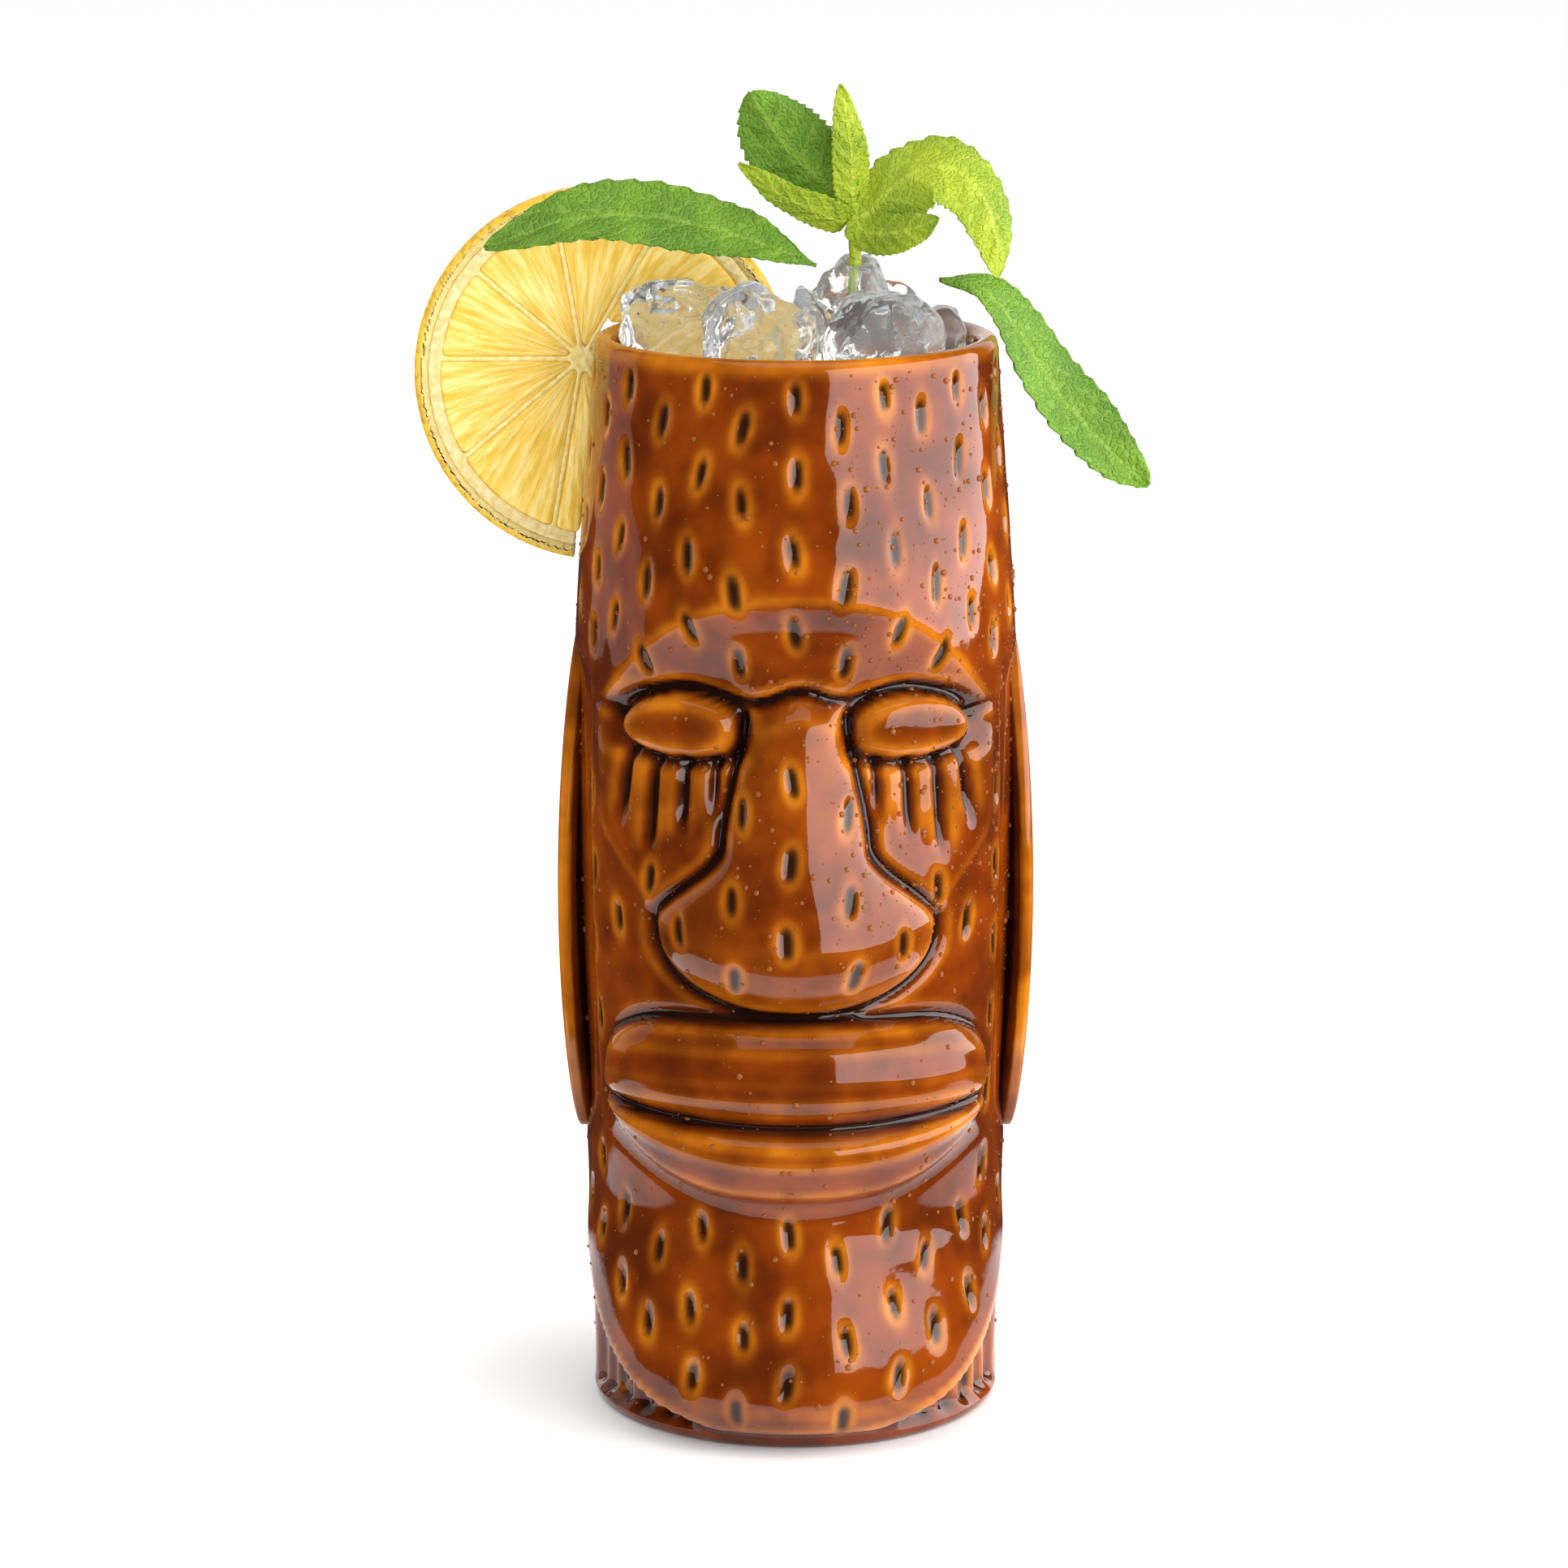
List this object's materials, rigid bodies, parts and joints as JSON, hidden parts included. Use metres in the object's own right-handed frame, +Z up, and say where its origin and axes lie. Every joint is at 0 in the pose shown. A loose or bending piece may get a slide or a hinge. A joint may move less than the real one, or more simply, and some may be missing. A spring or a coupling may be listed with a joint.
{
  "type": "tiki mug",
  "caption": "Tall glazed ceramic cocktail mug carved as a stern stone-head face, served with crushed ice, a slit lemon wheel hung on the lip and mint.",
  "frame": {"origin": "centre of the foot, on the surface the mug stands on", "axes": "+Z up along the mug, the face looks towards -Y, +X to the viewer's right when facing the mug"},
  "size_m": [0.1159, 0.0777, 0.2083],
  "materials": {
    "amber_glaze": "gloss",
    "lemon_rind": "satin",
    "lemon_pith": "satin",
    "lemon_pulp": "gloss",
    "clear_ice": "polished",
    "young_mint": "satin",
    "grown_mint": "satin"
  },
  "bodies": {
    "mug": {"mug_body": "amber_glaze"},
    "lemon_wheel": {"lemon_pulp_1": "lemon_pulp", "lemon_pulp_2": "lemon_pulp", "lemon_pulp_3": "lemon_pulp", "lemon_pulp_4": "lemon_pulp", "lemon_pulp_5": "lemon_pulp", "lemon_pulp_6": "lemon_pulp", "lemon_pulp_7": "lemon_pulp", "lemon_pulp_8": "lemon_pulp", "lemon_pulp_9": "lemon_pulp", "lemon_peel": "lemon_rind", "lemon_pith": "lemon_pith"},
    "ice": {"ice_left": "clear_ice", "ice_front_left": "clear_ice", "ice_centre": "clear_ice", "ice_top": "clear_ice", "ice_front_right": "clear_ice", "ice_right": "clear_ice", "ice_back_right": "clear_ice", "ice_back_left": "clear_ice", "ice_low_left": "clear_ice", "ice_low_front": "clear_ice", "ice_low_right": "clear_ice", "ice_low_middle": "clear_ice"},
    "mint_sprig": {"mint_stem": "young_mint", "mint_leaf_top": "young_mint", "mint_leaf_low_left": "young_mint", "mint_leaf_upper_left": "grown_mint", "mint_leaf_back": "grown_mint", "mint_leaf_upper_right": "young_mint", "mint_leaf_low_right": "young_mint"},
    "mint_leaf_left": {"mint_leaf_left": "grown_mint"},
    "mint_leaf_right": {"mint_leaf_right": "grown_mint"}
  },
  "joints": [
    {"name": "lemon_lift", "type": "slide", "parent": "mug", "child": "lemon_wheel", "axis": [0, 0, 1], "range_m": [0, 0.045]},
    {"name": "ice_lift", "type": "slide", "parent": "mug", "child": "ice", "axis": [0, 0, 1], "range_m": [0, 0.06]},
    {"name": "sprig_pull", "type": "slide", "parent": "ice", "child": "mint_sprig", "axis": [0, 0, 1], "range_m": [0, 0.03]},
    {"name": "left_leaf_pull", "type": "slide", "parent": "ice", "child": "mint_leaf_left", "axis": [-0.9, -0.3, 0.3162], "range_m": [0, 0.03]},
    {"name": "right_leaf_pull", "type": "slide", "parent": "ice", "child": "mint_leaf_right", "axis": [0.6, 0, 0.8], "range_m": [0, 0.03]}
  ]
}
